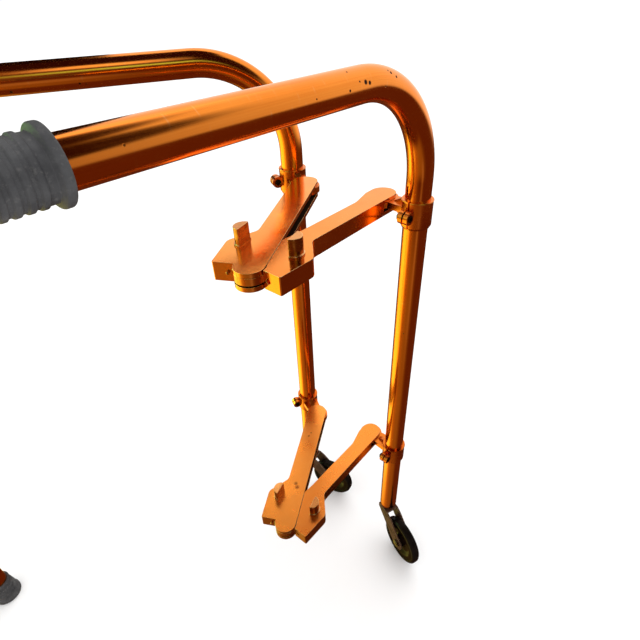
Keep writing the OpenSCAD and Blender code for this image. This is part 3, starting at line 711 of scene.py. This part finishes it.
def add_side_frame(side, finish):
    body = side + "_frame"
    tube_metal = tube_finish(side + "_tube_metal", PITS[side])
    stands_for(build_frame_tube(side), side + "_frame_tube", body, tube_metal)
    stands_for(build_grip(side), side + "_grip", body, finish["grip"])
    stands_for(build_rear_tip(side), side + "_rear_tip", body, finish["tip"])
    dress(side + "_tip_disc", finish["zinc"])
    dress(side + "_caster_socket", finish["nylon"])
    for node in (side + "_clamp_screws", side + "_clamp_nuts"):
        piece = bevelled_copy(node + "_cut", node, 0.22, segments=2)
        stands_for(piece, node, body, finish["black_steel"])


def add_clamp(side, level, metal):
    node = level + "_" + side + "_clamp"
    casting = bevelled_copy(node + "_casting", node, 0.35)
    stands_for(casting, node, side + "_frame", metal)


def add_arm(side, level, finish):
    arm = level + "_" + side + "_arm"
    arm_metal = cast_finish(
        arm + "_metal", tinted(CAST_TONES, ARM_TINT[side]), ARM_ROUGHNESS[level], SIDE_SHADE[level],
        marks=ARM_BLOTCHES if arm == "lower_left_arm" else (), marks_space=arm_space(side, level))
    casting = bevelled_copy(arm + "_casting", arm, 1.1, is_inner=slot_face_test(side, level))
    stands_for(casting, arm, arm, arm_metal)
    peg = level + "_" + side + "_peg"
    stands_for(bevelled_copy(peg + "_post", peg, 0.4), peg, arm, finish["peg"])
    dress(level + "_" + side + "_pivot_pin", finish["zinc"])
    washers = "_washers" if side == "left" else "_washer"
    dress(level + "_" + side + washers, finish["nylon"])


def add_caster(side, finish):
    caster = side + "_caster"
    fork = caster + "_fork"
    stands_for(bevelled_copy(fork + "_pressing", fork, 0.7), fork, caster, finish["enamel"])
    for node in (side + "_axle", side + "_axle_nut"):
        piece = bevelled_copy(node + "_plated", node, 0.35)
        stands_for(piece, node, caster, finish["dull_steel"])
    for node in (caster + "_washer", caster + "_stem", side + "_wheel_bush"):
        dress(node, finish["zinc"])
    wheel_body = caster + "_wheel"
    stands_for(build_wheel(side), side + "_wheel", wheel_body, finish["wheel"])
    stands_for(build_tyre(side), side + "_tyre", wheel_body, finish["tyre"])


def add_walker():
    finish = shared_finishes()
    for side in SIDES:
        add_side_frame(side, finish)
        clamp_metal = cast_finish(side + "_clamp_metal", CLAMP_TONES, rough=(0.20, 0.34))
        for level in LEVELS:
            add_clamp(side, level, clamp_metal)
            add_arm(side, level, finish)
        add_caster(side, finish)
    for level in LEVELS:
        dress(level + "_centre_pin", finish["zinc"])
        dress(level + "_dowel", finish["yellow_zinc"])


# ---------------------------------------------------------------- studio
def towards(azimuth, elevation):
    """Unit vector. Azimuths run clockwise from +Y, seen from above."""
    a, e = math.radians(azimuth), math.radians(elevation)
    return Vector((math.sin(a) * math.cos(e), math.cos(a) * math.cos(e), math.sin(e)))


def add_floor():
    """Pale floor. Mirror rays pass it by, so that the metal reflects the world's soft panels."""
    half_size = 30
    bm = bmesh.new()
    bmesh.ops.create_grid(bm, x_segments=4, y_segments=4, size=half_size)
    floor = finish_mesh("floor", bm)
    s = Shader("pale_floor")
    mottle = s.remap(s.noise(3.0, detail=4), 0.3, 0.7)
    s.set(Base_Color=s.mix(mottle, (0.86, 0.86, 0.86), (0.90, 0.90, 0.895)),
          Roughness=s.remap(s.noise(40.0), 0.3, 0.7, 0.75, 0.9), Specular_IOR_Level=0.0)
    floor.data.materials.append(s.material)
    floor.visible_glossy = False


def add_dark_card():
    """A dark card far to the left, seen only in reflections: it darkens the left rail's upper side."""
    left, back, front, low, high = -1.2, -0.75, 0.33, 0.741, 3.2
    corners = [(left, back, low), (left, front, low), (left, front, high), (left, back, high)]
    bm = bmesh.new()
    bm.faces.new([bm.verts.new(c) for c in corners])
    card = finish_mesh("dark_card", bm)
    s = Shader("card_cloth")
    s.set(Base_Color=s.mix(s.noise(5.0), (0.008, 0.003, 0.002), (0.015, 0.005, 0.003)),
          Roughness=1.0, Specular_IOR_Level=0.0)
    card.data.materials.append(s.material)
    card.visible_camera = False
    card.visible_diffuse = False
    card.visible_shadow = False


class Surroundings(Nodes):
    """Soft-edged areas of the world. Each is 1 inside and 0 outside, and angles are degrees."""

    def __init__(self, tree):
        super().__init__(tree)
        self.direction = self.add("ShaderNodeTexCoord").outputs["Generated"]
        level = self.add("ShaderNodeVectorMath", {0: self.direction, 1: (1, 1, 0)}, operation="MULTIPLY")
        heading = self.add("ShaderNodeVectorMath", {0: level.outputs[0]}, operation="NORMALIZE")
        self.heading = heading.outputs[0]
        rise = self.add("ShaderNodeSeparateXYZ", {0: self.direction}).outputs["Z"]
        self.height = self.times(self.math("ARCSINE", rise), 180 / math.pi)

    def angle_from(self, vector, other):
        facing = self.add("ShaderNodeVectorMath", {0: vector, 1: other}, operation="DOT_PRODUCT")
        return self.times(self.math("ARCCOSINE", facing.outputs["Value"]), 180 / math.pi)

    def panel(self, azimuth, half_width, side_blur, low, high, blur):
        """Around an azimuth, between two heights."""
        off = self.angle_from(self.heading, towards(azimuth, 0))
        across = self.remap(off, half_width + side_blur, half_width - side_blur)
        above_low = self.remap(self.height, low - blur, low + blur)
        below_high = self.remap(self.height, high + blur, high - blur)
        return self.times(across, self.times(above_low, below_high))

    def patch(self, azimuth, elevation, radius, blur):
        off = self.angle_from(self.direction, towards(azimuth, elevation))
        return self.remap(off, radius + blur, radius - blur)

    def above(self, height, blur):
        return self.remap(self.height, height - blur, height + blur)


def add_world():
    """What the metal mirrors, in layers over a dim red-brown room. Other rays see plain light."""
    plain_light, room, ceiling = (1.04, 1.04, 1.04), (0.120, 0.036, 0.012), (0.030, 0.008, 0.004)
    world = bpy.data.worlds.new("studio")
    bpy.context.scene.world = world
    world.use_nodes = True
    world.cycles.sampling_method = "NONE"
    around = Surroundings(world.node_tree)
    layers = [
        (around.above(61.5, 4.5), ceiling),
        # Warm glow low behind the walker, brightest and yellowest at the back left
        (around.panel(165, 62, 26, -62, -26, 6), (0.33, 0.20, 0.06)),
        (around.panel(205, 42, 26, -62, 30, 7), (0.62, 0.32, 0.06)),
        (around.panel(226, 33, 20, -55, 28, 7), (2.5, 2.2, 0.38)),
        (around.panel(186, 22, 12, 5, 34, 7), (0.80, 0.90, 0.28)),
        # Thin pale strip low on the right
        (around.panel(112, 7, 6, -38, -20, 6), (0.42, 0.30, 0.22)),
        # Broad window ahead and to the left, brightest in its upper part
        (around.panel(-20, 84, 10, -10, 60, 5), (0.52, 0.46, 0.40)),
        (around.panel(-60, 92, 34, -10, 60.5, 4), (1.20, 1.10, 0.95)),
        (around.panel(-58, 26, 14, 44, 60, 4), (1.55, 1.38, 1.10)),
        # Band and two bright patches that the arm tops see by way of the legs and bends
        (around.panel(140, 62, 12, 19, 28, 3), (0.85, 1.9, 0.9)),
        (around.patch(232, 22, 9, 4), (5.0, 9.0, 3.0)),
        (around.patch(236, -1, 13, 3), (4.0, 9.0, 2.4)),
        # Dark opening high on the right, with a small bright window and a dim wall beside it
        (around.patch(68, 46, 28.5, 5), ceiling),
        (around.panel(104, 9, 5, 40, 58, 4), (1.6, 1.5, 1.4)),
        (around.panel(135, 24, 10, 2, 34, 10), (0.22, 0.16, 0.10)),
    ]
    mirrored = room
    for share, light in layers:
        mirrored = around.mix(share, mirrored, light)
    mirror_ray = around.add("ShaderNodeLightPath").outputs["Is Glossy Ray"]
    background = world.node_tree.nodes["Background"]
    around.put(background.inputs["Color"], around.mix(mirror_ray, plain_light, mirrored))


def add_sun(name, azimuth, elevation, strength, spread):
    """A very soft light from far away, seen by matt surfaces only."""
    light = bpy.data.lights.new(name, "SUN")
    light.energy = strength
    light.angle = math.radians(spread)
    sun = new_object(name, light)
    sun.rotation_mode = "QUATERNION"
    sun.rotation_quaternion = towards(azimuth, elevation).to_track_quat("Z", "Y")
    sun.visible_glossy = False


def add_camera():
    """Wide-angle view down along the right side frame, from beside the user's right hand."""
    camera = bpy.data.cameras.new("camera")
    camera.sensor_width = 36
    camera.lens = 25.88
    view = new_object("camera", camera)
    view.location = (0.3792, -0.0380, 0.780)
    view.rotation_euler = tuple(math.radians(a) for a in (53.41, 1.86, 54.92))
    bpy.context.scene.camera = view


add_camera()
add_walker()
add_floor()
add_dark_card()
add_world()
add_sun("key_light", azimuth=-35, elevation=50, strength=0.9, spread=60)
add_sun("fill_light", azimuth=140, elevation=65, strength=0.35, spread=100)
bpy.context.scene.view_settings.view_transform = "Standard"
